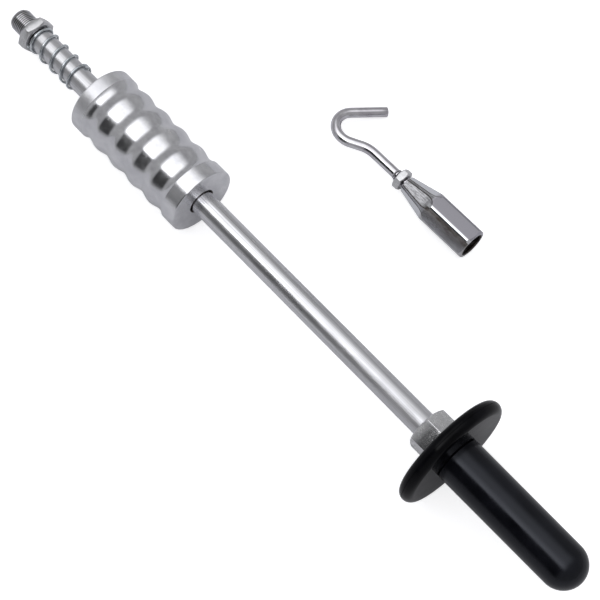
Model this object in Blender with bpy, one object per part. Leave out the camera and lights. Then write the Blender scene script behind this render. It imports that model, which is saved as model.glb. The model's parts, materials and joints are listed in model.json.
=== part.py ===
"""Slide hammer with a screw-on pulling hook, both lying on a flat surface.

The hammer lies on the rim of its hand guard and on the front rim of its sliding
weight, so its rod rises slightly towards the grip.  The hook attachment lies
beside it, on an edge of its hexagonal socket and on the tip of the hook.

Each hammer piece is modelled along +X from the threaded tip (x = 0) to the end
of the grip.  Each hook piece is modelled along +X with the socket's mouth at
x = 0 and the hook at negative x.  Two empties then lay them down.
"""
import math

import bmesh
import bpy
from mathutils import Matrix, Vector

MM = 0.001
INCH = 25.4

# ---- driving dimensions, millimetres ---------------------------------------
FIT = 0.3                         # gap between pieces that touch

ROD_R = 5 / 8 * INCH / 2          # plain part of the rod
THREAD_R = ROD_R - 0.09           # crest of the 5/8-18 thread
THREAD_BORE_R = ROD_R + 0.36      # threaded holes that take the rod
TIP_THREAD_END = 27.0
TIP_CHAMFER = 1.3
TANG_THREAD_START = 378.0
ROD_END = 462.0

FRONT_NUT_X = (14.4, 21.2)
FRONT_NUT_FLATS = 7 / 8 * INCH
REAR_NUT_X = (380.0, 395.7)
REAR_NUT_FLATS = 1.0 * INCH

SPRING_WIRE_R = 0.8
SPRING_COIL_R = 9.05              # centre of the wire
SPRING_X = FRONT_NUT_X[1] + FIT
SPRING_CLOSED_PITCH = 1.8
SPRING_ACTIVE_PITCH = 10.1
SPRING_RAMP = 0.4                 # turns over which the pitch changes
SPRING_TURNS = (0.75, 4.0, 0.85)  # closed, active (with its two ramps), closed

WEIGHT_X = (83.5, 181.8)
WEIGHT_R = 23.5
WEIGHT_BORE_R = 8.4
WEIGHT_BANDS = (9.3, 10.8)        # plain bands at the front and at the rear
GROOVE_DEPTH = 1.7
GROOVE_COUNT = 5
GROOVE_FIRST = 14.2               # first groove's middle, from the front face
GROOVE_PITCH = 17.0
EDGE_BREAK = 0.5                  # small chamfer on turned edges

GUARD_X = (396.0, 406.0)
GUARD_R = 39.0
GRIP_X = (GUARD_X[1] + FIT, 505.0)
GRIP_R = (15.0, 14.6)             # at the guard, and where the dome starts
GRIP_CAVITY_R = 11.4
CORE_X = (GRIP_X[0] + FIT, 466.0)
CORE_R = 11.0
CORE_KEYS = (418.0, 432.0, 446.0)  # ring grooves that key the rubber
CORE_KEY = (4.0, 1.4)              # their length and depth

SOCKET_FLATS = 20.8
SOCKET_EDGE_R = 2.2               # rounding of the hexagon's edges
SOCKET_BORE_R = ROD_R + 0.1
SOCKET_BORE_DEPTH = 30.0
SOCKET_CHAMFER = 0.9
NECK_END = -57.5
NECK_BORE_R = 4.3
FLUTE_TIP = -32.85                # where each flute runs out on its edge
# (x, distance from the axis): the flats, then the flutes pressed into the hexagon's edges
FLATS_FALL = ((0.0, 10.4), (-36.1, 10.4), (NECK_END, 5.6))
FLUTE_FALL = ((0.0, 14.0), (-32.5, 11.9), (-33.6, 11.15), (-34.8, 10.5), (-36.1, 9.95), (-37.6, 9.45),
              (-39.4, 8.95), (-41.5, 8.48), (NECK_END, 5.25))

JAM_NUT_X = (-64.2, -59.2)
JAM_NUT_FLATS = 13.0
HOOK_WIRE_R = 3.3
HOOK_THREAD_R = 3.9
HOOK_THREAD_X = (-45.0, -66.8)    # inner end, and where the thread runs out
HOOK_SHANK_END = -86.4
HOOK_NECK = (18.6, 30.6)          # radius and angle of the first, outward bend
HOOK_LINK = 7.8                   # straight run between the two bends
HOOK_BEND = (12.0, 156.0)         # radius and angle of the hook itself
HOOK_TAIL = 24.2                  # straight end

# ---- how the two lie, millimetres and degrees --------------------------------
TILT = math.degrees(math.atan((GUARD_R - WEIGHT_R) / (sum(GUARD_X) / 2 - WEIGHT_X[0])))
HAMMER_NUT_TURN = (24.6, 0.5)     # front and rear nut: one edge off straight up
SPRING_TURN = 14.6                # where the spring's open turns start, off straight up
HOOK_PLACE = (310.2, 109.0)       # socket mouth, from the hammer's tip
HOOK_YAW = 1.2
HOOK_ROLL = 20.3                  # socket: one edge off straight up
JAM_NUT_TURN = 33.9               # jam nut: one edge off straight up
HOOK_DROOP = 14.0                 # hook's plane below level, on the tail's side

ROUND = 48
SMALL_ROUND = 32


# ---- materials ---------------------------------------------------------------
def material(name, colour, roughness, metallic):
    made = bpy.data.materials.new(name)
    made.use_nodes = True
    shader = made.node_tree.nodes["Principled BSDF"]
    shader.inputs["Base Color"].default_value = (*colour, 1.0)
    shader.inputs["Roughness"].default_value = roughness
    shader.inputs["Metallic"].default_value = metallic
    return made


# ---- mesh helpers --------------------------------------------------------------
def new_object(name, bm, mat, sharp=30.0):
    """Turn a bmesh, in millimetres, into an object in metres."""
    bmesh.ops.recalc_face_normals(bm, faces=bm.faces)
    bmesh.ops.scale(bm, vec=(MM, MM, MM), verts=bm.verts)
    mesh = bpy.data.meshes.new(name)
    bm.to_mesh(mesh)
    bm.free()
    mesh.materials.append(mat)
    mesh.shade_smooth()
    mesh.set_sharp_from_angle(angle=math.radians(sharp))
    made = bpy.data.objects.new(name, mesh)
    bpy.context.scene.collection.objects.link(made)
    return made


def turned(outline, segments=ROUND):
    """Spin an outline of (x, radius) points about the X axis, a flat facing down.

    An outline that starts and ends on the axis gives a solid piece.  One whose
    last point is also its first gives a ring.
    """
    bm = bmesh.new()
    half_step = math.pi / segments
    sideways, upwards = math.sin(half_step), math.cos(half_step)
    points = [bm.verts.new((x, r * sideways, r * upwards)) for x, r in outline]
    if outline[0] == outline[-1]:
        bm.verts.remove(points[-1])
        points[-1] = points[0]
    edges = [bm.edges.new(pair) for pair in zip(points, points[1:])]
    bmesh.ops.spin(bm, geom=bm.verts[:] + edges, cent=(0, 0, 0), axis=(1, 0, 0),
                   angle=2 * math.pi, steps=segments, use_merge=True)
    bmesh.ops.remove_doubles(bm, verts=bm.verts, dist=1e-4)
    return bm


def skin(bm, rings):
    """Faces between successive rings of vertices, with a flat cap at each end."""
    for one, two in zip(rings, rings[1:]):
        for k in range(len(one)):
            after = (k + 1) % len(one)
            bm.faces.new((one[k], one[after], two[after], two[k]))
    bm.faces.new(rings[0])
    bm.faces.new(rings[-1])


def swept(centres, radii, sides):
    """A round bar along a path."""
    bm = bmesh.new()
    count = len(centres)
    tangents = [(centres[min(i + 1, count - 1)] - centres[max(i - 1, 0)]).normalized()
                for i in range(count)]
    across = tangents[0].orthogonal().normalized()
    rings = []
    for centre, tangent, radius in zip(centres, tangents, radii):
        across = (across - tangent * across.dot(tangent)).normalized()
        other = tangent.cross(across)
        turns = [2 * math.pi * k / sides for k in range(sides)]
        rings.append([bm.verts.new(centre + (across * math.cos(a) + other * math.sin(a)) * radius)
                      for a in turns])
    skin(bm, rings)
    return bm


def prism(outline, x_front, x_back):
    """Extrude an outline of (y, z) points along X."""
    bm = bmesh.new()
    face = bm.faces.new([bm.verts.new((x_front, y, z)) for y, z in outline])
    grown = bmesh.ops.extrude_face_region(bm, geom=[face])["geom"]
    moved = [item for item in grown if isinstance(item, bmesh.types.BMVert)]
    bmesh.ops.translate(bm, vec=(x_back - x_front, 0, 0), verts=moved)
    return bm


def hexagon(flats):
    """(y, z) outline of a hexagon with an edge straight up."""
    corner_r = flats / math.sqrt(3)
    angles = [math.radians(60 * corner) for corner in range(6)]
    return [(corner_r * math.sin(angle), corner_r * math.cos(angle)) for angle in angles]


def cutter(name, bm, mat):
    made = new_object(name, bm, mat)
    made.hide_render = True
    made.display_type = 'WIRE'
    return made


def boolean(target, tool, operation):
    change = target.modifiers.new(tool.name, 'BOOLEAN')
    change.operation = operation
    change.object = tool
    tool.parent = target


# ---- the hammer's pieces -------------------------------------------------------
def slide_rod(mat):
    thread_step = ROD_R - THREAD_R
    outline = [(0, 0), (0, THREAD_R - TIP_CHAMFER), (TIP_CHAMFER, THREAD_R),
               (TIP_THREAD_END, THREAD_R), (TIP_THREAD_END + thread_step, ROD_R),
               (TANG_THREAD_START - thread_step, ROD_R), (TANG_THREAD_START, THREAD_R),
               (ROD_END - TIP_CHAMFER, THREAD_R), (ROD_END, THREAD_R - TIP_CHAMFER), (ROD_END, 0)]
    return new_object("slide_rod", turned(outline), mat)


def hex_nut(name, span, flats, bore_r, mat):
    """A nut with both ends chamfered at 30 degrees and a countersunk hole."""
    x_front, x_back = span
    face_r = flats / 2 * 0.95
    edge_r = flats / math.sqrt(3) + 0.2
    slope = (edge_r - face_r) * math.tan(math.radians(30))
    sink = 0.6
    nut = new_object(name, prism(hexagon(flats), x_front, x_back), mat)
    envelope = [(x_front, bore_r + sink), (x_front, face_r), (x_front + slope, edge_r),
                (x_back - slope, edge_r), (x_back, face_r), (x_back, bore_r + sink),
                (x_back - sink, bore_r), (x_front + sink, bore_r), (x_front, bore_r + sink)]
    boolean(nut, cutter(name + "_envelope", turned(envelope, SMALL_ROUND), mat), 'INTERSECT')
    return nut


def bumper_spring(mat):
    """Closed at both ends, open in between; right-handed."""
    closed_front, active, closed_back = SPRING_TURNS
    total = closed_front + active + closed_back
    steps_per_turn = 18
    count = round(total * steps_per_turn)

    def pitch(turn):
        into = min(turn - closed_front, closed_front + active - turn)
        blend = min(max(into / SPRING_RAMP, 0.0), 1.0)
        return SPRING_CLOSED_PITCH + (SPRING_ACTIVE_PITCH - SPRING_CLOSED_PITCH) * blend

    x = SPRING_X + SPRING_WIRE_R
    centres = []
    for i in range(count + 1):
        turn = total * i / count
        angle = 2 * math.pi * (turn - closed_front) + math.radians(SPRING_TURN)
        centres.append(Vector((x, -SPRING_COIL_R * math.sin(angle), SPRING_COIL_R * math.cos(angle))))
        x += pitch(turn + total / count / 2) * total / count
    return new_object("bumper_spring", swept(centres, [SPRING_WIRE_R] * len(centres), 8), mat)


def weight_radius(x):
    """Radius of the weight's side at x from its front face."""
    length = WEIGHT_X[1] - WEIGHT_X[0]
    front_band, rear_band = WEIGHT_BANDS[0], length - WEIGHT_BANDS[1]
    last = GROOVE_FIRST + (GROOVE_COUNT - 1) * GROOVE_PITCH
    if x <= front_band or x >= rear_band:
        return WEIGHT_R
    if x < GROOVE_FIRST:
        return WEIGHT_R - GROOVE_DEPTH * (1 - ((GROOVE_FIRST - x) / (GROOVE_FIRST - front_band)) ** 2)
    if x > last:
        return WEIGHT_R - GROOVE_DEPTH * (1 - ((x - last) / (rear_band - last)) ** 2)
    wave = math.cos(2 * math.pi * (x - GROOVE_FIRST) / GROOVE_PITCH)
    return WEIGHT_R - GROOVE_DEPTH / 2 * (1 + wave)


def slide_weight(mat):
    front, back = WEIGHT_X
    length = back - front
    last = GROOVE_FIRST + (GROOVE_COUNT - 1) * GROOVE_PITCH
    steps = 6
    marks = [WEIGHT_BANDS[0] + (GROOVE_FIRST - WEIGHT_BANDS[0]) * k / 3 for k in range(3)]
    marks += [GROOVE_FIRST + GROOVE_PITCH * k / steps for k in range((GROOVE_COUNT - 1) * steps)]
    marks += [last + (length - WEIGHT_BANDS[1] - last) * k / 3 for k in range(4)]
    outline = [(front, WEIGHT_BORE_R), (front, WEIGHT_R - EDGE_BREAK), (front + EDGE_BREAK, WEIGHT_R)]
    outline += [(front + x, weight_radius(x)) for x in marks]
    outline += [(back - EDGE_BREAK, WEIGHT_R), (back, WEIGHT_R - EDGE_BREAK),
                (back, WEIGHT_BORE_R), (front, WEIGHT_BORE_R)]
    return new_object("slide_weight", turned(outline), mat)


def hand_guard(mat):
    """A flat disc with a full round rim."""
    front, back = GUARD_X
    rim = (back - front) / 2
    steps = 8
    arc = [(front + rim - rim * math.cos(math.pi * k / steps),
            GUARD_R - rim + rim * math.sin(math.pi * k / steps)) for k in range(steps + 1)]
    outline = [(front, THREAD_BORE_R), *arc, (back, THREAD_BORE_R), (front, THREAD_BORE_R)]
    return new_object("hand_guard", turned(outline), mat)


def grip(mat):
    """Tapered rubber sleeve, open towards the guard, with a domed end."""
    front, back = GRIP_X
    dome_r = GRIP_R[1]
    steps = 8
    dome = [(back - dome_r + dome_r * math.sin(math.pi / 2 * k / steps),
             dome_r * math.cos(math.pi / 2 * k / steps)) for k in range(steps)]
    cavity_end = CORE_X[1] + FIT
    outline = [(cavity_end, 0), (cavity_end, GRIP_CAVITY_R), (front, GRIP_CAVITY_R),
               (front, GRIP_R[0]), *dome, (back, 0)]
    return new_object("grip", turned(outline), mat)


def grip_core(mat):
    """Threaded steel sleeve moulded into the grip."""
    front, back = CORE_X
    key_length, key_depth = CORE_KEY
    outline = [(front, THREAD_BORE_R), (front, CORE_R)]
    for start in CORE_KEYS:
        outline += [(start, CORE_R), (start, CORE_R - key_depth),
                    (start + key_length, CORE_R - key_depth), (start + key_length, CORE_R)]
    outline += [(back, CORE_R), (back, THREAD_BORE_R), (front, THREAD_BORE_R)]
    return new_object("grip_core", turned(outline, SMALL_ROUND), mat)


# ---- the hook attachment's pieces ------------------------------------------------
def fall(marks, x):
    """Height at x on a line through (x, height) marks that run towards negative x."""
    for (x1, r1), (x2, r2) in zip(marks, marks[1:]):
        if x >= x2:
            return r1 + (r2 - r1) * (x - x1) / (x2 - x1)
    return marks[-1][1]


def socket_ring(x):
    """(y, z) points round the socket's side at x, one hexagon edge straight up."""
    flat_r, flute_r = fall(FLATS_FALL, x), fall(FLUTE_FALL, x)
    half = math.radians(30)
    centre_r = (flat_r - SOCKET_EDGE_R) / math.cos(half)
    rounded = math.atan2(SOCKET_EDGE_R * math.sin(half), centre_r + SOCKET_EDGE_R * math.cos(half))
    fold = max(rounded, math.atan((flat_r / flute_r - math.cos(half)) / math.sin(half)))
    points = []
    for corner in range(6):
        for turn in (-fold, -fold / 2, 0.0, fold / 2, fold, half):
            r = flat_r / math.cos(half - abs(turn))
            if abs(turn) < rounded:
                across = centre_r * math.sin(turn)
                r = centre_r * math.cos(turn) + math.sqrt(SOCKET_EDGE_R ** 2 - across ** 2)
            r = min(r, flute_r / math.cos(turn))
            angle = math.radians(60 * corner) + turn
            points.append((r * math.sin(angle), r * math.cos(angle)))
    return points


def hook_socket(mat):
    """Hexagonal socket, its edges pressed into flutes down to a narrow neck."""
    bm = bmesh.new()
    end = NECK_END
    marks = (0.0, FLUTE_TIP, *(x for x, _ in FLUTE_FALL[2:]))
    skin(bm, [[bm.verts.new((x, y, z)) for y, z in socket_ring(x)] for x in marks])
    socket = new_object("hook_socket", bm, mat)
    edge_r = SOCKET_FLATS / math.sqrt(3)
    mouth_r = SOCKET_FLATS / 2 - 0.2
    sink = 0.5
    envelope = [(0, SOCKET_BORE_R + sink), (0, mouth_r), (-SOCKET_CHAMFER, edge_r), (end, edge_r),
                (end, NECK_BORE_R), (-SOCKET_BORE_DEPTH - 3.0, NECK_BORE_R),
                (-SOCKET_BORE_DEPTH, SOCKET_BORE_R), (-sink, SOCKET_BORE_R), (0, SOCKET_BORE_R + sink)]
    boolean(socket, cutter("socket_envelope", turned(envelope), mat), 'INTERSECT')
    return socket


def hook_route():
    """Centres and radii along the hook, from its threaded end to its tail."""
    here = Vector((HOOK_THREAD_X[0], 0, 0))
    heading = math.pi
    route = [(here.copy(), HOOK_THREAD_R), (Vector((HOOK_THREAD_X[1], 0, 0)), HOOK_THREAD_R),
             (Vector((HOOK_THREAD_X[1] - 1.0, 0, 0)), HOOK_WIRE_R),
             (Vector((HOOK_SHANK_END, 0, 0)), HOOK_WIRE_R)]
    here = route[-1][0].copy()
    for radius, degrees, straight, steps in ((HOOK_NECK[0], HOOK_NECK[1], HOOK_LINK, 6),
                                             (HOOK_BEND[0], -HOOK_BEND[1], HOOK_TAIL, 22)):
        turn = math.radians(degrees) / steps
        chord = 2 * radius * math.sin(abs(turn) / 2)
        for _ in range(steps):
            here += Vector((math.cos(heading + turn / 2), math.sin(heading + turn / 2), 0)) * chord
            heading += turn
            route.append((here.copy(), HOOK_WIRE_R))
        here += Vector((math.cos(heading), math.sin(heading), 0)) * straight
        route.append((here.copy(), HOOK_WIRE_R))
    return [centre for centre, _ in route], [radius for _, radius in route]


def hook_rod(mat):
    centres, radii = hook_route()
    return new_object("hook_rod", swept(centres, radii, 14), mat)


# ---- laying the pieces down --------------------------------------------------------
def rig(name, place, turns):
    """An empty at a place in millimetres, with its turns in degrees."""
    made = bpy.data.objects.new(name, None)
    bpy.context.scene.collection.objects.link(made)
    made.location = Vector(place) * MM
    made.rotation_euler = [math.radians(turn) for turn in turns]
    return made


def hold(parent, piece, roll=0.0):
    piece.parent = parent
    piece.rotation_euler = (math.radians(roll), 0, 0)


def box_of(pieces):
    bpy.context.view_layer.update()
    graph = bpy.context.evaluated_depsgraph_get()
    corners = []
    for piece in pieces:
        mesh = piece.evaluated_get(graph).data
        corners += [piece.matrix_world @ vertex.co for vertex in mesh.vertices]
    return [(min(c[i] for c in corners), max(c[i] for c in corners)) for i in range(3)]


def main():
    for old in list(bpy.data.objects):
        bpy.data.objects.remove(old)

    bright_steel = material("bright_steel", (0.72, 0.72, 0.74), 0.22, 1.0)
    polished_steel = material("polished_steel", (0.78, 0.78, 0.80), 0.12, 1.0)
    zinc_plate = material("zinc_plate", (0.62, 0.62, 0.64), 0.40, 1.0)
    spring_steel = material("spring_steel", (0.60, 0.62, 0.64), 0.25, 1.0)
    chrome_plate = material("chrome_plate", (0.70, 0.69, 0.72), 0.10, 1.0)
    dark_steel = material("dark_steel", (0.30, 0.30, 0.31), 0.50, 1.0)
    black_rubber = material("black_rubber", (0.012, 0.012, 0.014), 0.40, 0.0)
    black_gloss = material("black_gloss", (0.012, 0.012, 0.013), 0.22, 0.0)

    flat_r = WEIGHT_R * math.cos(math.pi / ROUND)
    tip_height = flat_r * math.cos(math.radians(TILT)) - WEIGHT_X[0] * math.sin(math.radians(TILT))
    hammer = rig("hammer_rig", (0, 0, tip_height), (0, -TILT, 0))
    hammer_pieces = [slide_rod(bright_steel), bumper_spring(spring_steel),
                     slide_weight(polished_steel), hand_guard(black_gloss),
                     grip(black_rubber), grip_core(dark_steel)]
    for piece in hammer_pieces:
        hold(hammer, piece)
    for name, span, flats, turn in (("front_stop_nut", FRONT_NUT_X, FRONT_NUT_FLATS, HAMMER_NUT_TURN[0]),
                                    ("rear_stop_nut", REAR_NUT_X, REAR_NUT_FLATS, HAMMER_NUT_TURN[1])):
        nut = hex_nut(name, span, flats, THREAD_BORE_R, zinc_plate)
        hold(hammer, nut, turn)
        hammer_pieces.append(nut)

    centre_r = (SOCKET_FLATS / 2 - SOCKET_EDGE_R) / math.cos(math.radians(30))
    socket_height = centre_r * math.cos(math.radians(HOOK_ROLL)) + SOCKET_EDGE_R
    hook = rig("hook_rig", (*HOOK_PLACE, socket_height), (0, 0, HOOK_YAW))
    socket = hook_socket(chrome_plate)
    jam_nut = hex_nut("hook_jam_nut", JAM_NUT_X, JAM_NUT_FLATS, HOOK_THREAD_R + FIT + 0.05, zinc_plate)
    wire_hook = hook_rod(chrome_plate)
    hold(hook, socket, HOOK_ROLL)
    hold(hook, jam_nut, JAM_NUT_TURN)
    hold(hook, wire_hook, -HOOK_DROOP)

    # The origin is under the middle of the box round everything, on the surface.
    (x_low, x_high), (y_low, y_high), (z_low, _) = box_of(hammer_pieces + [socket, jam_nut, wire_hook])
    middle = Vector(((x_low + x_high) / 2, (y_low + y_high) / 2, z_low))
    for holder in (hammer, hook):
        holder.matrix_world = Matrix.Translation(-middle) @ holder.matrix_world


main()
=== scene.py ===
"""Looks of the slide hammer and its pulling hook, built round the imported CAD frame.

Hammer pieces are modelled along +X from the threaded tip (x = 0), hook pieces
along +X with the socket's mouth at x = 0.  All of that is in millimetres; a
matrix read from the frame then puts each piece in its place, in metres.
"""
import json
import math

import bmesh
import bpy
from mathutils import Matrix, Vector


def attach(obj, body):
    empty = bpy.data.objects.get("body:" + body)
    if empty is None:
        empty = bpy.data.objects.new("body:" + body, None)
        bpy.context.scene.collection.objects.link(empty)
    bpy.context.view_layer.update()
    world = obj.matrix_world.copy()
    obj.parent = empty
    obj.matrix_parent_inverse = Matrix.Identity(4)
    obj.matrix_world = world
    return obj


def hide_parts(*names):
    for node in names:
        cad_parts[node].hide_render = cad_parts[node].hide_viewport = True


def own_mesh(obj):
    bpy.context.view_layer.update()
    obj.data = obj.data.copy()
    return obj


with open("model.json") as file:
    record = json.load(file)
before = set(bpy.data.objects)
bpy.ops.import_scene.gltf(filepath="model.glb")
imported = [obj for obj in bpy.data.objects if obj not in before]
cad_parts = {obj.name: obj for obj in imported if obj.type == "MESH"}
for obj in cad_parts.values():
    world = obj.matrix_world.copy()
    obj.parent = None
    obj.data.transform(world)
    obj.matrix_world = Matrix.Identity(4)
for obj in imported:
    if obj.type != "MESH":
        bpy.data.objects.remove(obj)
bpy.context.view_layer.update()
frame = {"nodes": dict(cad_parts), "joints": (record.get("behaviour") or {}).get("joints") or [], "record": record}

MM = 0.001
INCH = 25.4

# ---- the hammer's sizes, along it from the tip ------------------------------
ROD_R = 5 / 8 * INCH / 2
ROD_END = 461.0
ROD_END_CHAMFER = 1.0
THREAD_R = ROD_R - 0.09
THREAD_PITCH = INCH / 18
THREAD_DEPTH = 0.80
TIP_THREAD_END = 23.2
TIP_CHAMFER = 1.3
NUT_BORE_R = ROD_R + 0.30
# A nut is its front end, its back end, its width across flats and its roll in degrees.
FRONT_NUT = (14.4, 21.2, 7 / 8 * INCH, 24.6)
REAR_NUT = (380.0, 395.7, 1.0 * INCH, 0.5)
# The spring's turns are closed at the nut, open, and closed at the weight; its pitch
# changes over the ramp, which is a part of a turn.
SPRING_WIRE_R = 0.8
SPRING_COIL_R = 9.05
SPRING_START = 21.5
SPRING_CLOSED_PITCH = 1.8
SPRING_ACTIVE_PITCH = 10.1
SPRING_RAMP = 0.4
SPRING_TURNS = (0.75, 4.0, 0.85)
SPRING_ROLL = 14.6
# The weight's grooves lie between a plain band at its front and one at its back.
WEIGHT = (83.5, 181.8)
WEIGHT_R = 23.5
WEIGHT_CORNER_R = 0.6
WEIGHT_BORE_R = 8.4
WEIGHT_BORE_CHAMFER = 0.8
WEIGHT_BANDS = (9.3, 10.8)
GROOVE_DEPTH = 1.7
GROOVE_COUNT = 5
GROOVE_FIRST = 14.2
GROOVE_PITCH = 17.0
GUARD = (396.0, 406.0)
GUARD_R = 39.0
GUARD_HUB_R = 20.0
PARTING_LINE = 0.12
# The grip narrows a little from its front to its dome.
GRIP = (406.3, 505.0)
GRIP_R = (15.0, 14.6)
GRIP_CHAMFER = 0.35
GRIP_CAVITY_R = 11.4
GRIP_CAVITY_END = 466.3

# ---- the hook attachment's sizes, back from the socket's mouth ----------------
SOCKET_FLATS = 20.8
SOCKET_EDGE_R = 2.2
SOCKET_BORE_R = ROD_R + 0.1
SOCKET_BORE_DEPTH = 30.0
SOCKET_THREAD_DEPTH = 0.75
SOCKET_ROLL = 20.3
MOUTH_FACE_R = 9.7
MOUTH_EDGE_R = 0.7
NECK_END = -57.5
NECK_BORE_R = 4.3
# Where the socket's edges start to be pressed in, and where they are in deep.
PRESS_START = -32.0
PRESS_END = -38.2
# The middle of a flat and of an edge, each as (x, distance from the axis).
FLATS_FALL = ((0.0, SOCKET_FLATS / 2), (-36.1, SOCKET_FLATS / 2), (NECK_END, 5.6))
FLUTE_FALL = ((0.0, 14.0), (-32.5, 11.9), (-33.6, 11.15), (-34.8, 10.5), (-36.1, 9.95), (-37.6, 9.45),
              (-39.4, 8.95), (-41.5, 8.48), (NECK_END, 5.25))
CREASE_HALF_WIDTH = 0.30
CREASE_DEPTH = 0.24
FLUTE_STEPS = 7
FLAT_STEPS = 3
JAM_NUT = (-64.2, -59.2, 13.0, 33.9)
WIRE_R = 3.3
HOOK_THREAD_R = 3.9
HOOK_THREAD = (-45.0, -66.8)
HOOK_THREAD_PITCH = 1.25
HOOK_THREAD_DEPTH = 0.68
HOOK_THREAD_RUN_OUT = 1.0
HOOK_SHANK_END = -86.4
# A bend is its radius and its angle in degrees; the straight after it comes next.
HOOK_NECK = (18.6, 30.6)
HOOK_LINK = 7.8
HOOK_BEND = (12.0, 156.0)
HOOK_TAIL = 24.2
# The tail's rounded end, as (length, radius lost).
HOOK_TAIL_ROUNDING = ((0.2, 0.08), (0.4, 0.3), (0.5, 0.6))
HOOK_DROOP = 14.0

# ---- camera ----------------------------------------------------------------------
CAMERA_AZIMUTH = 47.81
CAMERA_ELEVATION = 69.15
CAMERA_DISTANCE = 1.0005
CAMERA_AIM = Vector((0.0160, -0.0464, 0.0200))
CAMERA_LENS = 99.0

# ---- studio light: radiance of the room's parts, and the lamps' watts -----------------
# A light box or opening of the room is its swing and its reach, each as (out, in, in, out)
# in degrees; the Studio says what these are.
BOX = ((-30, -28, 14, 52), (-54, -26, 4, 34))
BOX_EDGE = ((-30, -28, -26, 4), (-32, -20, 4, 34))
OPENING = ((-88, -78, -30, -28), (-32, -16, 10, 26))
WALL_LIGHT = 0.40
BOX_LIGHT = 1.50
BOX_EDGE_LIGHT = 3.2
OPENING_LIGHT = 0.05
BACKDROP_LIGHT = 0.95
FLOOR_GLOW = 0.70
OVERHEAD_POWER = 1.6
SIDE_POWER = 0.6
FLOOR_HALF_SIDE = 6.0
FLOOR_GAP = 0.0004


def joint(name):
    return next(item for item in frame["joints"] if item["name"] == name)


def placing(axis, origin):
    """Matrix that lays local +X along a level or rising axis from an origin."""
    along = Vector(axis).normalized()
    across = Vector((0, 0, 1)).cross(along).normalized()
    turn = Matrix((along, across, along.cross(across))).transposed().to_4x4()
    return Matrix.Translation(origin) @ turn


tip = next(m for m in frame["record"]["mounts"] if m["name"] == "threaded_tip")["pos_m"]
HAMMER = placing(joint("weight_slide")["axis"], Vector(tip))
HOOK_AXIS = Vector(joint("hook_swivel")["axis"])
HOOK = placing(HOOK_AXIS, Vector(joint("hook_swivel")["pos_m"]) - HOOK_AXIS * NECK_END * MM)


# ---- procedural materials ------------------------------------------------------------
class Surface:
    """A Principled material with short calls for the nodes these finishes use."""

    def __init__(self, name, colour, roughness, metallic, **others):
        self.material = bpy.data.materials.new(name)
        self.material.use_nodes = True
        self.tree = self.material.node_tree
        self.shader = self.tree.nodes["Principled BSDF"]
        self.shader.inputs["Base Color"].default_value = (*colour, 1.0)
        self.shader.inputs["Roughness"].default_value = roughness
        self.shader.inputs["Metallic"].default_value = metallic
        for socket, value in others.items():
            self.shader.inputs[socket.replace("_", " ")].default_value = value
        self.coordinates = self.tree.nodes.new("ShaderNodeTexCoord").outputs["Object"]
        self.height = None

    def node(self, kind, **settings):
        made = self.tree.nodes.new(kind)
        for key, value in settings.items():
            setattr(made, key, value)
        return made

    def link(self, source, target):
        self.tree.links.new(source, target)

    def stretched(self, scale):
        """Object coordinates, stretched by a different amount on each axis."""
        mapping = self.node("ShaderNodeMapping")
        mapping.inputs["Scale"].default_value = scale
        self.link(self.coordinates, mapping.inputs["Vector"])
        return mapping.outputs["Vector"]

    def noise(self, scale, detail=4.0, roughness=0.55):
        made = self.node("ShaderNodeTexNoise")
        made.inputs["Scale"].default_value = 1.0
        made.inputs["Detail"].default_value = detail
        made.inputs["Roughness"].default_value = roughness
        self.link(self.stretched(scale), made.inputs["Vector"])
        return made.outputs["Fac"]

    def axis(self, letter):
        """Distance along one of the piece's own axes, in metres."""
        made = self.node("ShaderNodeSeparateXYZ")
        self.link(self.coordinates, made.inputs["Vector"])
        return made.outputs[letter]

    def combine(self, operation, one, two):
        made = self.node("ShaderNodeMath", operation=operation)
        self.link(one, made.inputs[0])
        self.link(two, made.inputs[1])
        return made.outputs["Value"]

    def product(self, *shares):
        made = shares[0]
        for share in shares[1:]:
            made = self.combine('MULTIPLY', made, share)
        return made

    def ramp(self, source, low, high, out_low=0.0, out_high=1.0):
        made = self.node("ShaderNodeMapRange")
        for socket, value in (("From Min", low), ("From Max", high),
                              ("To Min", out_low), ("To Max", out_high)):
            made.inputs[socket].default_value = value
        self.link(source, made.inputs["Value"])
        return made.outputs["Result"]

    def mixed(self, one, two, share):
        """A colour between two, each an RGB tuple or another node's output."""
        made = self.node("ShaderNodeMix", data_type='RGBA')
        inputs = {socket.name: socket for socket in made.inputs if socket.type == 'RGBA'}
        for name, colour in (("A", one), ("B", two)):
            if isinstance(colour, tuple):
                inputs[name].default_value = (*colour, 1.0)
            else:
                self.link(colour, inputs[name])
        self.link(share, made.inputs["Factor"])
        return next(socket for socket in made.outputs if socket.type == 'RGBA')

    def mixed_colour(self, share, dark, light):
        self.link(self.mixed(dark, light, share), self.shader.inputs["Base Color"])

    def roughness(self, source, low, high, out_low, out_high):
        self.link(self.ramp(source, low, high, out_low, out_high), self.shader.inputs["Roughness"])

    def bump(self, source, strength, distance_mm):
        made = self.node("ShaderNodeBump")
        made.inputs["Strength"].default_value = strength
        made.inputs["Distance"].default_value = distance_mm * MM
        self.link(source, made.inputs["Height"])
        if self.height is not None:
            self.link(self.height, made.inputs["Normal"])
        self.height = made.outputs["Normal"]
        self.link(self.height, self.shader.inputs["Normal"])


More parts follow.
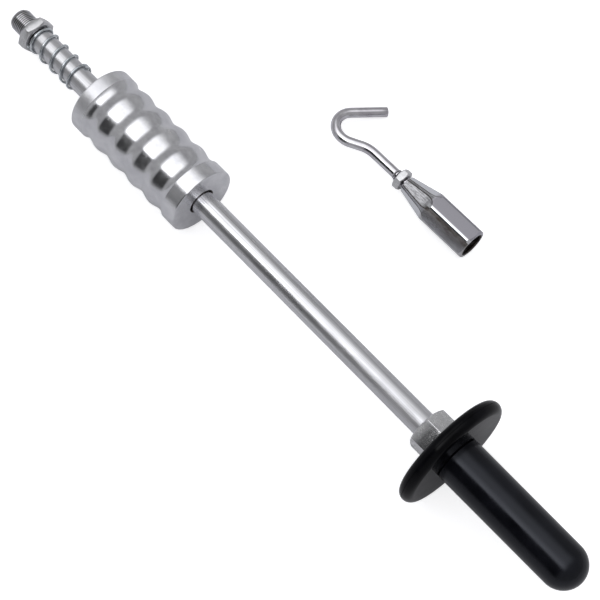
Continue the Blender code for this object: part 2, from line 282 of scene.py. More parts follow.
def drawn_steel():
    """Bright rod stock: streaks along the rod, duller at the spring and towards the guard."""
    look = Surface("drawn_steel", (0.68, 0.68, 0.70), 0.26, 1.0)
    streaks = look.noise((14, 1500, 1500), detail=5.0)
    blotches = look.noise((60, 200, 200))
    look.mixed_colour(look.ramp(streaks, 0.36, 0.64), (0.55, 0.55, 0.57), (0.75, 0.75, 0.77))
    along = look.axis("X")
    by_guard = look.ramp(along, 250 * MM, 360 * MM, 0.0, 0.24)
    by_spring = look.product(look.ramp(along, 150 * MM, 90 * MM),
                             look.ramp(along, 19 * MM, 25 * MM, -0.03, 0.09))
    dulling = look.combine('ADD', by_guard, by_spring)
    look.link(look.combine('ADD', dulling, look.ramp(blotches, 0.35, 0.65, 0.19, 0.29)),
              look.shader.inputs["Roughness"])
    look.bump(streaks, 0.30, 0.02)
    look.bump(look.noise((700, 2400, 2400), detail=2.0), 0.15, 0.01)
    return look.material


def polished_steel():
    """Turned and polished steel: faint rings and a cloudy haze, its front band brushed."""
    look = Surface("polished_steel", (0.74, 0.74, 0.76), 0.16, 1.0)
    rings = look.noise((4200, 22, 22), detail=3.0)
    haze = look.noise((75, 110, 110), detail=6.0, roughness=0.66)
    look.mixed_colour(look.ramp(haze, 0.33, 0.67), (0.62, 0.62, 0.65), (0.80, 0.80, 0.82))
    band_end = (WEIGHT[0] + WEIGHT_BANDS[0]) * MM
    brushing = look.ramp(look.axis("X"), band_end, band_end - 0.6 * MM, 0.0, 0.13)
    look.link(look.combine('ADD', brushing, look.ramp(haze, 0.33, 0.70, 0.14, 0.28)),
              look.shader.inputs["Roughness"])
    look.bump(rings, 0.22, 0.012)
    look.bump(look.noise((170, 230, 230)), 0.50, 0.06)
    return look.material


def zinc_plate(name, low, high):
    """Zinc plate with a fine grain, its tone wandering between two greys."""
    look = Surface(name, (low, low, low), 0.24, 1.0)
    tone = look.noise((190, 190, 190), detail=6.0, roughness=0.65)
    look.mixed_colour(look.ramp(tone, 0.32, 0.68), (low, low, low * 1.03), (high, high, high * 1.01))
    look.roughness(tone, 0.35, 0.65, 0.17, 0.30)
    look.bump(look.noise((1300, 1300, 1300), detail=3.0), 0.12, 0.02)
    look.bump(look.noise((300, 300, 300), detail=3.0), 0.10, 0.06)
    return look.material


def plated_wire():
    """Bright plated spring wire with fine drawing marks."""
    look = Surface("plated_wire", (0.54, 0.56, 0.58), 0.20, 1.0)
    tone = look.noise((500, 500, 500))
    look.mixed_colour(look.ramp(tone, 0.35, 0.65), (0.46, 0.50, 0.53), (0.74, 0.77, 0.79))
    look.roughness(tone, 0.35, 0.65, 0.07, 0.16)
    look.bump(tone, 0.15, 0.01)
    return look.material


def bright_chrome():
    """Nickel chrome over pressed steel: smooth, faintly uneven."""
    look = Surface("bright_chrome", (0.66, 0.64, 0.67), 0.08, 1.0)
    cloud = look.noise((90, 140, 140))
    look.mixed_colour(look.ramp(cloud, 0.35, 0.65), (0.56, 0.54, 0.58), (0.72, 0.71, 0.74))
    look.roughness(cloud, 0.35, 0.65, 0.06, 0.14)
    look.bump(look.noise((90, 160, 160), detail=2.0), 0.06, 0.03)
    return look.material


def pressed_chrome():
    """The socket's chrome, with painted reflections about its top edge (y = 0).

    On the body, the flats on one side of that edge carry painted shade, and those on the
    other a painted dark reflection, tinted brown; on the neck, the flute that the edge is pressed to is painted
    darker, with streaks: a painted reflection.
    """
    look = Surface("pressed_chrome", (0.70, 0.70, 0.72), 0.09, 1.0)
    cloud = look.noise((90, 300, 300), detail=5.0, roughness=0.6)
    neck_side, body_side = -37.5 * MM, -35.0 * MM
    body = look.ramp(look.axis("X"), neck_side, body_side)
    across = look.axis("Y")
    # Painted shade on the body's flats at +Y.
    painted_shade_share = look.product(body, look.ramp(across, 1.0 * MM, 1.5 * MM))
    # A painted dark reflection, tinted brown, on the body's flats at -Y.
    painted_dark_share = look.product(body, look.ramp(across, -1.0 * MM, -1.4 * MM),
                        look.ramp(across, -9.0 * MM, -3.0 * MM, 0.45, 1.0),
                        look.ramp(cloud, 0.30, 0.60, 0.72, 1.0))
    streaks = look.ramp(look.noise((12, 1700, 1700)), 0.36, 0.62)
    turn = look.combine('ARCTAN2', across, look.axis("Z"))
    # The flute is painted darker, with streaks: a painted reflection.
    flute = look.product(look.ramp(turn, math.radians(-23), math.radians(-21)),
                         look.ramp(turn, math.radians(35), math.radians(33)),
                         look.ramp(look.axis("X"), body_side, neck_side))
    painted_flute_reflection = look.mixed((0.28, 0.28, 0.29), (0.56, 0.56, 0.58), streaks)
    tone = look.mixed((0.78, 0.79, 0.82), painted_flute_reflection, flute)
    tone = look.mixed(tone, (0.43, 0.42, 0.46), painted_shade_share)
    look.link(look.mixed(tone, (0.115, 0.100, 0.088), painted_dark_share), look.shader.inputs["Base Color"])
    look.roughness(cloud, 0.35, 0.65, 0.06, 0.15)
    look.bump(look.noise((90, 160, 160), detail=2.0), 0.06, 0.03)
    return look.material


def dark_root():
    """Painted shade: the dark steel deep in a thread, a bore or a crease, mottled at random."""
    look = Surface("dark_root", (0.10, 0.09, 0.085), 0.42, 1.0)
    painted_dark_share = look.noise((260, 260, 260))
    look.mixed_colour(look.ramp(painted_dark_share, 0.35, 0.65), (0.030, 0.026, 0.024), (0.095, 0.083, 0.076))
    look.roughness(painted_dark_share, 0.35, 0.65, 0.34, 0.55)
    look.bump(painted_dark_share, 0.2, 0.02)
    return look.material


def plain_steel():
    """Machined steel that never sees daylight."""
    look = Surface("plain_steel", (0.30, 0.30, 0.31), 0.5, 1.0)
    grain = look.noise((2500, 80, 80), detail=3.0)
    look.roughness(grain, 0.35, 0.65, 0.42, 0.58)
    look.bump(grain, 0.2, 0.02)
    return look.material


def grip_rubber():
    """Moulded black rubber: a soft sheen broken by a very fine grain."""
    look = Surface("grip_rubber", (0.003, 0.003, 0.004), 0.2, 0.0, Specular_IOR_Level=0.31,
                   Specular_Tint=(0.84, 0.88, 1.0, 1.0))
    tone = look.noise((60, 60, 60), detail=5.0)
    look.mixed_colour(look.ramp(tone, 0.35, 0.65), (0.0015, 0.0016, 0.0025), (0.0045, 0.0047, 0.0070))
    look.roughness(tone, 0.35, 0.65, 0.15, 0.25)
    look.bump(look.noise((2600, 2600, 2600), detail=2.0), 0.12, 0.01)
    look.bump(look.noise((70, 110, 110), detail=3.0), 0.14, 0.10)
    return look.material


def guard_gloss():
    """Moulded black guard, glossy, with faint flow marks and handling haze."""
    look = Surface("guard_gloss", (0.005, 0.005, 0.006), 0.2, 0.0, Specular_IOR_Level=0.07)
    haze = look.noise((90, 60, 60), detail=5.0)
    look.mixed_colour(look.ramp(haze, 0.35, 0.65), (0.0015, 0.0015, 0.002), (0.0045, 0.0045, 0.006))
    look.roughness(haze, 0.35, 0.65, 0.10, 0.20)
    look.bump(look.noise((60, 70, 70), detail=2.0), 0.15, 0.10)
    return look.material


# ---- mesh helpers ------------------------------------------------------------------------
def added(name, data):
    """A new object in the scene."""
    made = bpy.data.objects.new(name, data)
    bpy.context.scene.collection.objects.link(made)
    return made


def finish_piece(name, bm, mat, place, roll=0.0, sharp=30.0):
    """Make an object of a bmesh in millimetres, at its place in the frame."""
    bmesh.ops.remove_doubles(bm, verts=bm.verts, dist=1e-4)
    bmesh.ops.recalc_face_normals(bm, faces=bm.faces)
    bmesh.ops.scale(bm, vec=(MM, MM, MM), verts=bm.verts)
    mesh = bpy.data.meshes.new(name)
    bm.to_mesh(mesh)
    bm.free()
    mesh.materials.append(mat)
    mesh.shade_smooth()
    mesh.set_sharp_from_angle(angle=math.radians(sharp))
    made = added(name, mesh)
    made.matrix_world = place @ Matrix.Rotation(math.radians(roll), 4, 'X')
    return made


def arc(centre_x, centre_r, radius, start, end, steps):
    """Points of an arc in (x, radius), its angles in degrees from +X to outwards."""
    angles = [math.radians(start + (end - start) * k / steps) for k in range(steps + 1)]
    return [(centre_x + radius * math.cos(a), centre_r + radius * math.sin(a)) for a in angles]


def grid_faces(bm, rows, wrap_shift=0):
    """Quads between rows of vertices that run round the axis.

    A wrap_shift of n joins the end of each row to the start of the row n later.
    """
    count = len(rows[0])
    for i in range(len(rows) - 1):
        for k in range(count):
            after = (k + 1) % count
            shift = wrap_shift if after == 0 else 0
            if i + 1 + shift < len(rows):
                bm.faces.new((rows[i][k], rows[i + shift][after],
                              rows[i + 1 + shift][after], rows[i + 1][k]))


def lathe_into(bm, outline, segments):
    """Add a surface turned about the X axis; points on the axis become one vertex."""
    rows = []
    for x, r in outline:
        turns = [2 * math.pi * k / segments for k in range(segments)]
        rows.append([bm.verts.new((x, r * math.sin(a), r * math.cos(a))) for a in turns] if r > 1e-6
                    else bm.verts.new((x, 0, 0)))
    for one, two in zip(rows, rows[1:]):
        if isinstance(one, list) and isinstance(two, list):
            grid_faces(bm, [one, two])
        else:
            point, ring = (one, two) if isinstance(two, list) else (two, one)
            for k in range(segments):
                bm.faces.new((point, ring[k], ring[(k + 1) % segments]))


def lathe(outline, segments=160):
    bm = bmesh.new()
    lathe_into(bm, outline, segments)
    return bm


def thread_into(bm, span, crest, depth, pitch, segments, ends, rows_per_turn=10):
    """Add a helical thread between two places along the X axis.

    crest is the larger radius, and depth is how far below it the roots are.  ends
    gives, for each end, the radius of the plain ring that the thread meets and the
    length over which it runs out.
    """
    start, end = span
    (start_r, start_run), (end_r, end_run) = ends
    step = pitch / rows_per_turn
    peak, slope = 2.1, 5.2

    def radius(x, turn):
        """The ridge is a peak over each pitch, cut off at its top and its bottom."""
        phase = (x / pitch - turn) % 1.0
        ridge = min(max(peak - abs(phase - 0.5) * slope, 0.0), 1.0)
        r = crest - depth * (1.0 - ridge)
        for there, base, run in ((x - start, start_r, start_run), (end - x, end_r, end_run)):
            share = min(max(there / run, 0.0), 1.0)
            r = base + (r - base) * share
        return r

    rows = []
    count = math.ceil((end - start + 2 * pitch) / step)
    for i in range(count + 1):
        row = []
        for k in range(segments):
            turn = k / segments
            x = min(max(start + i * step + pitch * (turn - 1.0), start), end)
            r = radius(x, turn)
            angle = 2 * math.pi * turn
            row.append(bm.verts.new((x, r * math.sin(angle), r * math.cos(angle))))
        rows.append(row)
    grid_faces(bm, rows, rows_per_turn)


def hex_outline(flats, rounding, arc_steps, flat_steps):
    """(y, z) points round a hexagon with rounded edges, one edge straight up."""
    centre_r = (flats / 2 - rounding) / math.cos(math.radians(30))

    def rounded(corner, share):
        """A point on a corner's rounding, its share across from -0.5 to 0.5."""
        middle = math.radians(60 * corner)
        spread = middle + math.radians(60) * share
        centre = Vector((centre_r * math.sin(middle), centre_r * math.cos(middle)))
        return centre + rounding * Vector((math.sin(spread), math.cos(spread)))

    points = []
    for corner in range(6):
        points += [rounded(corner, k / arc_steps - 0.5) for k in range(arc_steps + 1)]
        after = rounded(corner + 1, -0.5)
        points += [points[-1].lerp(after, k / flat_steps) for k in range(1, flat_steps)]
    return points


def hex_nut(flats, span, bore_r, edge=0.30, soft=0.12):
    """A nut: chamfered ends, rounded edges and a countersunk hole."""
    front, back = span
    bm = bmesh.new()
    face_r = flats / 2 * 0.95
    slope = math.tan(math.radians(30))
    sink = 0.6
    rows = []
    outline = hex_outline(flats, edge, arc_steps=4, flat_steps=10)

    def row(points):
        rows.append([bm.verts.new(point) for point in points])

    def circle(x, r):
        row([(x, *(point.normalized() * r)) for point in outline])

    def side(end, inwards):
        """The cone's run up to the hexagon, then a small rounding onto its side."""
        def placed(point, back_off, drop):
            reach = point.length - back_off
            x = end + inwards * ((point.length - face_r) * slope + drop)
            return (x, *(point.normalized() * reach))
        row([placed(p, soft, -soft * slope) for p in outline])
        row([placed(p, soft * 0.30, soft * 0.22) for p in outline])
        row([placed(p, 0.0, soft) for p in outline])

    circle(front + sink, bore_r)
    circle(front, bore_r + sink)
    circle(front, face_r)
    side(front, 1.0)
    sides = len(rows)
    side(back, -1.0)
    rows[sides:] = reversed(rows[sides:])
    circle(back, face_r)
    circle(back, bore_r + sink)
    circle(back - sink, bore_r)
    rows.append(rows[0])
    grid_faces(bm, rows)
    return bm


def sweep_into(bm, centres, radii, sides, capped=(True, True)):
    """Add a round bar along a path."""
    count = len(centres)
    tangents = [(centres[min(i + 1, count - 1)] - centres[max(i - 1, 0)]).normalized()
                for i in range(count)]
    up = Vector((0, 0, 1))
    rows = []
    for centre, tangent, radius in zip(centres, tangents, radii):
        up = (up - tangent * up.dot(tangent)).normalized()
        across = up.cross(tangent)
        turns = [2 * math.pi * k / sides for k in range(sides)]
        rows.append([bm.verts.new(centre + (up * math.cos(a) + across * math.sin(a)) * radius)
                     for a in turns])
    grid_faces(bm, rows)
    for wanted, ring in zip(capped, (rows[0], rows[-1])):
        if wanted:
            bm.faces.new(ring)


def make_nut(name, sizes, bore_r, mat, place, **edges):
    front, back, flats, roll = sizes
    return finish_piece(name, hex_nut(flats, (front, back), bore_r, **edges), mat, place, roll)


def darken(piece, mat, wanted):
    """Paint shade: give the dark material to faces whose middle, as (x, radius) in mm, is wanted."""
    piece.data.materials.append(mat)
    for face in piece.data.polygons:
        x, y, z = face.center / MM
        if wanted(x, math.hypot(y, z)):
            face.material_index = len(piece.data.materials) - 1
    return piece


# ---- the hammer's pieces ---------------------------------------------------------------------
def make_rod():
    """Rod with a real thread at its tip, chamfered at both ends."""
    bm = bmesh.new()
    sides = 96
    root = THREAD_R - THREAD_DEPTH
    tip_r = root + 0.1
    lathe_into(bm, [(0, 0), (0, root - 0.9), (0.15, root - 0.55), (TIP_CHAMFER, tip_r)], sides)
    thread_into(bm, (TIP_CHAMFER, TIP_THREAD_END), THREAD_R, THREAD_DEPTH, THREAD_PITCH, sides,
                ((tip_r, 1.2), (ROD_R, 1.6)))
    plain = ROD_END - TIP_THREAD_END - ROD_END_CHAMFER
    outline = [(TIP_THREAD_END + plain * k / 40, ROD_R) for k in range(41)]
    lathe_into(bm, outline + [(ROD_END, ROD_R - ROD_END_CHAMFER), (ROD_END, 0)], sides)
    rod = finish_piece("rod", bm, drawn_steel(), HAMMER)
    # Painted shade: the thread's roots take the dark material.
    return darken(rod, ROOT, lambda x, r: TIP_CHAMFER < x < TIP_THREAD_END and r < THREAD_R - 0.4)


def make_spring():
    """Closed and cut at both ends, open in between; right-handed.

    Gives the spring and the place where its wire's centre ends.
    """
    closed_front, active, closed_back = SPRING_TURNS
    total = closed_front + active + closed_back
    steps_per_turn = 48
    count = round(total * steps_per_turn)

    def pitch(turn):
        into = min(turn - closed_front, closed_front + active - turn)
        share = min(max(into / SPRING_RAMP, 0.0), 1.0)
        return SPRING_CLOSED_PITCH + (SPRING_ACTIVE_PITCH - SPRING_CLOSED_PITCH) * share

    x = SPRING_START + SPRING_WIRE_R
    centres = []
    for i in range(count + 1):
        angle = 2 * math.pi * (total * i / count - closed_front) + math.radians(SPRING_ROLL)
        centres.append(Vector((x, -SPRING_COIL_R * math.sin(angle), SPRING_COIL_R * math.cos(angle))))
        x += pitch(total * (i + 0.5) / count) * total / count
    bm = bmesh.new()
    sweep_into(bm, centres, [SPRING_WIRE_R] * len(centres), 20)
    return finish_piece("bumper_coil", bm, plated_wire(), HAMMER), x


def weight_radius(x):
    """Radius of the weight's side at x from its front face."""
    last = GROOVE_FIRST + (GROOVE_COUNT - 1) * GROOVE_PITCH
    if GROOVE_FIRST <= x <= last:
        wave = math.cos(2 * math.pi * (x - GROOVE_FIRST) / GROOVE_PITCH)
        return WEIGHT_R - GROOVE_DEPTH / 2 * (1 + wave)
    if x < GROOVE_FIRST:
        reach = (GROOVE_FIRST - x) / (GROOVE_FIRST - WEIGHT_BANDS[0])
    else:
        rear_band = WEIGHT[1] - WEIGHT[0] - WEIGHT_BANDS[1]
        reach = (x - last) / (rear_band - last)
    return WEIGHT_R - GROOVE_DEPTH * (1 - min(reach, 1.0) ** 2)


def make_weight():
    """Turned weight: two plain bands with grooves between, and a chamfered bore."""
    front, back = WEIGHT
    length = back - front
    corner, chamfer = WEIGHT_CORNER_R, WEIGHT_BORE_CHAMFER
    steps = 150
    marks = [corner + (length - 2 * corner) * k / steps for k in range(steps + 1)]
    edge_marks = [WEIGHT_BANDS[0], length - WEIGHT_BANDS[1]]
    apart = 0.3
    marks = sorted([m for m in marks if all(abs(m - e) > apart for e in edge_marks)] + edge_marks)
    outline = [(front + chamfer, WEIGHT_BORE_R), (front, WEIGHT_BORE_R + chamfer)]
    outline += [(front + x, r) for x, r in reversed(arc(corner, WEIGHT_R - corner, corner, 90, 180, 5))]
    outline += [(front + x, weight_radius(x)) for x in marks[1:-1]]
    outline += [(front + x, r) for x, r in
                reversed(arc(length - corner, WEIGHT_R - corner, corner, 0, 90, 5))]
    outline += [(back, WEIGHT_BORE_R + chamfer), (back - chamfer, WEIGHT_BORE_R), outline[0]]
    weight = finish_piece("ribbed_weight", lathe(outline, 192), polished_steel(), HAMMER, sharp=22.0)
    # Painted shade: the bore and its chamfers take the dark material.
    return darken(weight, ROOT, lambda x, r: r < WEIGHT_BORE_R + 0.5)


def make_guard():
    """Flat disc with a full round rim and a fine parting line round its edge."""
    front, back = GUARD
    rim = (back - front) / 2
    middle = (front + back) / 2
    outline = [(front, NUT_BORE_R), (front, GUARD_HUB_R)]
    outline += list(reversed(arc(middle, GUARD_R - rim, rim, 92, 180, 18)))
    outline += [(middle - PARTING_LINE, GUARD_R - PARTING_LINE), (middle, GUARD_R - 0.02),
                (middle + PARTING_LINE, GUARD_R - PARTING_LINE)]
    outline += list(reversed(arc(middle, GUARD_R - rim, rim, 0, 88, 18)))
    outline += [(back, GUARD_HUB_R), (back, NUT_BORE_R), (front, NUT_BORE_R)]
    return finish_piece("guard_disc", lathe(outline, 224), guard_gloss(), HAMMER, sharp=40.0)


def make_grip():
    """Barrel with a domed end, hollow for the core that ties it to the rod."""
    front, back = GRIP
    front_r, dome_r = GRIP_R
    barrel_end = back - dome_r
    steps = 24
    barrel = [(front + GRIP_CHAMFER + (barrel_end - front - GRIP_CHAMFER) * k / steps,
               front_r + (dome_r - front_r) * k / steps) for k in range(steps)]
    dome = reversed(arc(barrel_end, 0, dome_r, 0, 90, steps)[1:])
    outline = [(GRIP_CAVITY_END, 0), (GRIP_CAVITY_END, GRIP_CAVITY_R), (front, GRIP_CAVITY_R),
               (front, front_r - GRIP_CHAMFER), *barrel, *dome, (back, 0)]
    return finish_piece("grip_sleeve", lathe(outline, 160), grip_rubber(), HAMMER)


# ---- the hook attachment's pieces ---------------------------------------------------------------
def fall(marks, x):
    """Height at x on a line through (x, height) marks that run from the mouth to the neck."""
    for (x1, r1), (x2, r2) in zip(marks, marks[1:]):
        if x >= x2:
            return r1 + (r2 - r1) * (x - x1) / (x2 - x1)
    return marks[-1][1]


def socket_row(x):
    """Angles from one hexagon edge to the middle of a flat, and the side's radius at each.

    Every hexagon edge is rounded, then pressed in towards the neck: the pressed
    flute meets the flats in a sunk crease, which takes three of the angles.  Also says
    whether there is a crease here.
    """
    flat_r, flute_r = fall(FLATS_FALL, x), fall(FLUTE_FALL, x)
    half = math.radians(30)
    centre = (flat_r - SOCKET_EDGE_R) / math.cos(half)
    rounded = math.atan2(SOCKET_EDGE_R * math.sin(half), centre + SOCKET_EDGE_R * math.cos(half))
    fold = math.atan((flat_r / flute_r - math.cos(half)) / math.sin(half))
    sink = CREASE_DEPTH * min(max((fold - rounded) / rounded, 0.0), 1.0)
    fold = max(fold, rounded)
    beside = CREASE_HALF_WIDTH / flat_r
    angles = [(fold - beside) * k / FLUTE_STEPS for k in range(FLUTE_STEPS + 1)] + [fold, fold + beside]
    flat = half - angles[-1]
    angles += [angles[-1] + flat * k / FLAT_STEPS for k in range(1, FLAT_STEPS + 1)]
    row = []
    for angle in angles:
        r = flat_r / math.cos(half - angle)
        if angle < rounded:
            r = centre * math.cos(angle) + math.sqrt(SOCKET_EDGE_R ** 2 - (centre * math.sin(angle)) ** 2)
        r = min(r, flute_r / math.cos(angle))
        row.append((angle, r - (sink if angle == fold else 0.0)))
    return row, sink > 0


def socket_sides(bm):
    """The socket's outside, closed at both ends, with its creases given the second material, a painted shade."""
    marks = [PRESS_START * k / 4 for k in range(4)] + [PRESS_START - 0.2 * k for k in range(31)]
    marks += [PRESS_END + (NECK_END - PRESS_END) * k / 16 for k in range(1, 17)]
    rows = []
    creased = []
    for x in marks:
        row, sunk = socket_row(x)
        ring = [(-angle, r) for angle, r in reversed(row[1:-1])] + row
        turned = [(math.radians(60 * corner) + angle, r) for corner in range(6) for angle, r in ring]
        rows.append([bm.verts.new((x, r * math.sin(a), r * math.cos(a))) for a, r in turned])
        creased.append(sunk)
    grid_faces(bm, rows)
    per_corner = len(ring)
    edge = per_corner // 2 - 1
    for index, face in enumerate(bm.faces):
        row, place = divmod(index, len(rows[0]))
        from_edge = abs(place % per_corner + 0.5 - edge)
        # Painted shade: the faces beside each crease take the dark material.
        if creased[row] and FLUTE_STEPS < from_edge < FLUTE_STEPS + 2:
            face.material_index = 1
    bm.faces.new(rows[0])
    bm.faces.new(rows[-1])


def make_socket():
    """Hexagonal socket with a threaded bore, pressed to a neck with six flutes."""
    bm = bmesh.new()
    socket_sides(bm)
    chrome = pressed_chrome()
    socket = finish_piece("socket_shell", bm, chrome, HOOK, SOCKET_ROLL)
    # The second material, painted shade, goes to the creases and to the bore.
    socket.data.materials.append(ROOT)
    trim, clear_r = 0.02, 12.6
    envelope = lathe([(-trim, 0), (-trim, MOUTH_FACE_R),
                      *arc(-trim - MOUTH_EDGE_R, MOUTH_FACE_R, MOUTH_EDGE_R, 15, 50, 4), (-2.6, clear_r),
                      (NECK_END + trim, clear_r), (NECK_END + trim, 0)], 128)
    bore = bmesh.new()
    sides, beyond = 96, 0.6
    mouth_r, bottom_r = SOCKET_BORE_R - 0.1, SOCKET_BORE_R - 0.4
    lathe_into(bore, [(beyond, 0), (beyond, SOCKET_BORE_R + 1.2), (-beyond, mouth_r)], sides)
    thread_into(bore, (-SOCKET_BORE_DEPTH, -beyond), SOCKET_BORE_R + 0.45, SOCKET_THREAD_DEPTH,
                THREAD_PITCH, sides, ((bottom_r, 2.0), (mouth_r, 0.8)))
    lathe_into(bore, [(-SOCKET_BORE_DEPTH, bottom_r), (-SOCKET_BORE_DEPTH - 3.0, NECK_BORE_R),
                      (NECK_END - beyond, NECK_BORE_R), (NECK_END - beyond, 0)], sides)
    for name, tool, operation, finish in (("envelope", envelope, 'INTERSECT', chrome),
                                          ("bore", bore, 'DIFFERENCE', ROOT)):
        change = socket.modifiers.new(name, 'BOOLEAN')
        change.material_mode = 'TRANSFER'
        change.operation = operation
        change.object = finish_piece(name, tool, finish, HOOK, SOCKET_ROLL)
    return applied(socket)


def applied(piece, sharp=24.0):
    """Replace a piece's mesh by its evaluated one and drop the cutters."""
    bpy.context.view_layer.update()
    mesh = bpy.data.meshes.new_from_object(piece.evaluated_get(bpy.context.evaluated_depsgraph_get()))
    tools = [change.object for change in piece.modifiers if change.type == 'BOOLEAN']
    piece.modifiers.clear()
    piece.data = mesh
    mesh.shade_smooth()
    mesh.set_sharp_from_angle(angle=math.radians(sharp))
    for tool in tools:
        bpy.data.objects.remove(tool)
    return piece


def hook_route():
    """Centres along the hook, from where its thread runs out to its tail."""
    here = Vector((HOOK_THREAD[1] - HOOK_THREAD_RUN_OUT, 0, 0))
    shank = here.x - HOOK_SHANK_END
    route = [here - Vector((shank * k / 8, 0, 0)) for k in range(9)]
    here = route[-1].copy()
    heading = math.pi
    tail = HOOK_TAIL - HOOK_TAIL_ROUNDING[-1][0]
    for radius, degrees, straight, steps in ((HOOK_NECK[0], HOOK_NECK[1], HOOK_LINK, 16),
                                             (HOOK_BEND[0], -HOOK_BEND[1], tail, 64)):
        turn = math.radians(degrees) / steps
        chord = 2 * radius * math.sin(abs(turn) / 2)
        for _ in range(steps):
            here = here + chord * Vector((math.cos(heading + turn / 2), math.sin(heading + turn / 2), 0))
            heading += turn
            route.append(here.copy())
        for _ in range(6):
            here = here + straight / 6 * Vector((math.cos(heading), math.sin(heading), 0))
            route.append(here.copy())
    return route, Vector((math.cos(heading), math.sin(heading), 0))


def make_hook():
    """Bent wire with a rolled thread at its root and a slightly rounded cut end."""
    sides = 48
    route, heading = hook_route()
    bm = bmesh.new()
    start, end = HOOK_THREAD[1] - HOOK_THREAD_RUN_OUT, HOOK_THREAD[0]
    root = HOOK_THREAD_R - HOOK_THREAD_DEPTH
    thread_into(bm, (start, end), HOOK_THREAD_R, HOOK_THREAD_DEPTH, HOOK_THREAD_PITCH, sides,
                ((WIRE_R, 1.6), (root, 1.2)))
    lathe_into(bm, [(end, root), (end + 0.01, 0)], sides)
    radii = [WIRE_R] * len(route) + [WIRE_R - lost for step, lost in HOOK_TAIL_ROUNDING]
    route += [route[-1] + heading * step for step, lost in HOOK_TAIL_ROUNDING]
    sweep_into(bm, route, radii, sides, (False, True))
    hook = finish_piece("wire_hook", bm, bright_chrome(), HOOK, -HOOK_DROOP)
    # Painted shade: the thread's roots take the dark material.
    return darken(hook, ROOT, lambda x, r: HOOK_THREAD[1] < x and r < HOOK_THREAD_R - 0.45)


# ---- surroundings ----------------------------------------------------------------------------------
def make_floor():
    """A pale table; a light of its own, which only the camera sees, keeps its shadows soft."""
    bm = bmesh.new()
    bmesh.ops.create_grid(bm, x_segments=1, y_segments=1, size=FLOOR_HALF_SIDE)
    mesh = bpy.data.meshes.new("floor")
    bm.to_mesh(mesh)
    bm.free()
    look = Surface("pale_floor", (0.64, 0.64, 0.66), 0.9, 0.0, Emission_Color=(1.0, 1.0, 1.0, 1.0))
    seen = look.node("ShaderNodeLightPath").outputs["Is Camera Ray"]
    look.link(look.ramp(seen, 0.0, 1.0, 0.0, FLOOR_GLOW), look.shader.inputs["Emission Strength"])
    mesh.materials.append(look.material)
    floor = added("floor", mesh)
    floor.location.z = -FLOOR_GAP


def aimed(name, data, azimuth, elevation, distance):
    """A lamp or camera that looks at the middle of the tool from a direction in degrees."""
    around, up = math.radians(azimuth), math.radians(elevation)
    towards = Vector((math.cos(up) * math.sin(around), -math.cos(up) * math.cos(around), math.sin(up)))
    made = added(name, data)
    made.location = CAMERA_AIM + towards * distance
    made.rotation_euler = (-towards).to_track_quat('-Z', 'Y').to_euler()
    return made


def area_light(name, azimuth, elevation, distance, size, power):
    """A soft box that lights the tool without showing in its reflections."""
    data = bpy.data.lights.new(name, 'AREA')
    data.shape = 'RECTANGLE'
    data.size, data.size_y = size
    data.energy = power
    aimed(name, data, azimuth, elevation, distance).visible_glossy = False


class Studio:
    """World shading by direction: light boxes and a dark opening round the tool.

    A direction has a swing, its angle from straight up towards +Y, and a reach,
    its angle towards +X, both in degrees.
    """

    def __init__(self):
        self.world = bpy.data.worlds.new("studio")
        bpy.context.scene.world = self.world
        self.world.use_nodes = True
        self.tree = self.world.node_tree
        self.background = self.tree.nodes["Background"]
        direction = self.tree.nodes.new("ShaderNodeTexCoord").outputs["Generated"]
        axes = self.tree.nodes.new("ShaderNodeSeparateXYZ")
        self.tree.links.new(direction, axes.inputs["Vector"])
        self.direction = direction
        self.swing = self.degrees(self.math('ARCTAN2', axes.outputs["Y"], axes.outputs["Z"]))
        self.reach = self.degrees(self.math('ARCSINE', axes.outputs["X"]))

    def math(self, operation, *values):
        made = self.tree.nodes.new("ShaderNodeMath")
        made.operation = operation
        for socket, value in zip(made.inputs, values):
            if isinstance(value, (int, float)):
                socket.default_value = value
            else:
                self.tree.links.new(value, socket)
        return made.outputs["Value"]

    def degrees(self, radians):
        return self.math('MULTIPLY', radians, 180 / math.pi)

    def step(self, value, low, high):
        """0 below low, 1 above high, smooth in between; high may be the lower one."""
        made = self.tree.nodes.new("ShaderNodeMapRange")
        made.interpolation_type = 'SMOOTHSTEP'
        made.inputs["From Min"].default_value = min(low, high)
        made.inputs["From Max"].default_value = max(low, high)
        made.inputs["To Min"].default_value = 0.0 if low < high else 1.0
        made.inputs["To Max"].default_value = 1.0 if low < high else 0.0
        self.tree.links.new(value, made.inputs["Value"])
        return made.outputs["Result"]

    def patch(self, swing, reach):
        """A soft-edged patch: each of swing and reach is (out, in, in, out)."""
        share = 1.0
        for angle, (start, full, fading, end) in ((self.swing, swing), (self.reach, reach)):
            share = self.math('MULTIPLY', share, self.step(angle, start, full))
            share = self.math('MULTIPLY', share, self.step(angle, end, fading))
        return share

    def mix(self, share, below, above):
        made = self.tree.nodes.new("ShaderNodeMix")
        for socket, value in zip((made.inputs["Factor"], made.inputs["A"], made.inputs["B"]),
                                 (share, below, above)):
            if isinstance(value, (int, float)):
                socket.default_value = value
            else:
                self.tree.links.new(value, socket)
        return made.outputs["Result"]


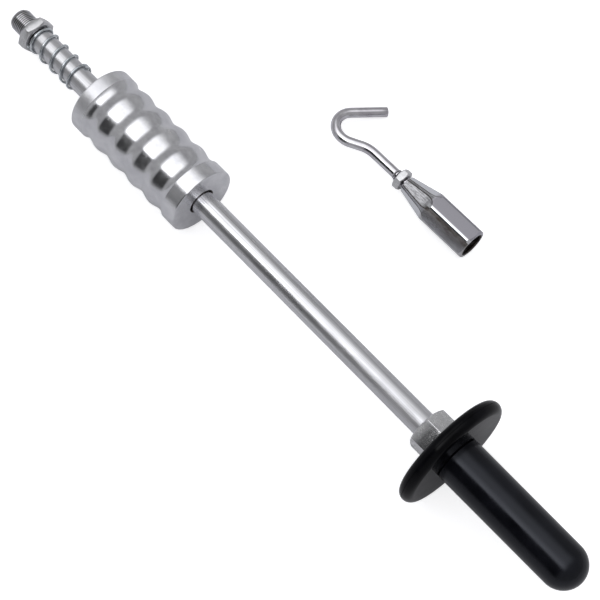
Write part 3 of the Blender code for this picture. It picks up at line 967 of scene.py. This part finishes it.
def make_lights():
    """A grey room with one large soft box overhead, brighter along its edge, and a dark opening."""
    studio = Studio()
    noise = studio.tree.nodes.new("ShaderNodeTexNoise")
    noise.inputs["Scale"].default_value = 3.5
    noise.inputs["Detail"].default_value = 3.0
    studio.tree.links.new(studio.direction, noise.inputs["Vector"])
    wall = studio.mix(noise.outputs["Fac"], WALL_LIGHT * 0.7, WALL_LIGHT * 1.3)
    lit = wall
    for patch, light in ((BOX, BOX_LIGHT), (BOX_EDGE, BOX_EDGE_LIGHT), (OPENING, OPENING_LIGHT)):
        lit = studio.mix(studio.patch(*patch), lit, light)
    seen = studio.tree.nodes.new("ShaderNodeLightPath").outputs["Is Camera Ray"]
    studio.tree.links.new(studio.mix(seen, lit, BACKDROP_LIGHT), studio.background.inputs["Strength"])
    studio.background.inputs["Color"].default_value = (0.98, 0.985, 1.0, 1.0)
    area_light("overhead_box", azimuth=180.0, elevation=70.0, distance=1.6, size=(1.8, 1.2),
               power=OVERHEAD_POWER)
    area_light("side_box", azimuth=40.0, elevation=55.0, distance=1.8, size=(1.2, 0.8),
               power=SIDE_POWER)


def make_camera():
    data = bpy.data.cameras.new("camera")
    data.lens = CAMERA_LENS
    data.sensor_width = 36.0
    camera = aimed("camera", data, CAMERA_AZIMUTH, CAMERA_ELEVATION, CAMERA_DISTANCE)
    bpy.context.scene.camera = camera
    bpy.context.scene.view_settings.view_transform = 'Standard'


# ---- putting it together -----------------------------------------------------------------------------
def stand_in_for(piece, node, body):
    """The piece rides on the node's body and hides the node."""
    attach(piece, body)
    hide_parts(node)


make_camera()
make_lights()
make_floor()
ROOT = dark_root()

stand_in_for(make_rod(), "slide_rod", "hammer")
zinc = zinc_plate("zinc_plate", 0.50, 0.70)
nut = make_nut("tip_nut", FRONT_NUT, NUT_BORE_R, zinc, HAMMER)
stand_in_for(nut, "front_stop_nut", "front_nut")
coil, coil_end = make_spring()
stand_in_for(coil, "bumper_spring", "spring")
stand_in_for(make_weight(), "slide_weight", "weight")
# The rear nut takes a lighter copy of the zinc plate: a painted sheen.
nut = make_nut("guard_nut", REAR_NUT, NUT_BORE_R, zinc_plate("painted_sheen_zinc", 0.62, 0.82), HAMMER)
stand_in_for(nut, "rear_stop_nut", "hammer")
stand_in_for(make_guard(), "hand_guard", "hammer")
stand_in_for(make_grip(), "grip", "hammer")
core = frame["nodes"]["grip_core"]          # hidden in the grip: its CAD shape stays
core.data.materials.clear()
core.data.materials.append(plain_steel())
stand_in_for(make_socket(), "hook_socket", "hook_set")
nut = make_nut("lock_nut", JAM_NUT, HOOK_THREAD_R + 0.2, zinc, HOOK, edge=0.25, soft=0.15)
stand_in_for(nut, "hook_jam_nut", "jam_nut")
stand_in_for(make_hook(), "hook_rod", "hook")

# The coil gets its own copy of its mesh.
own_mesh(coil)
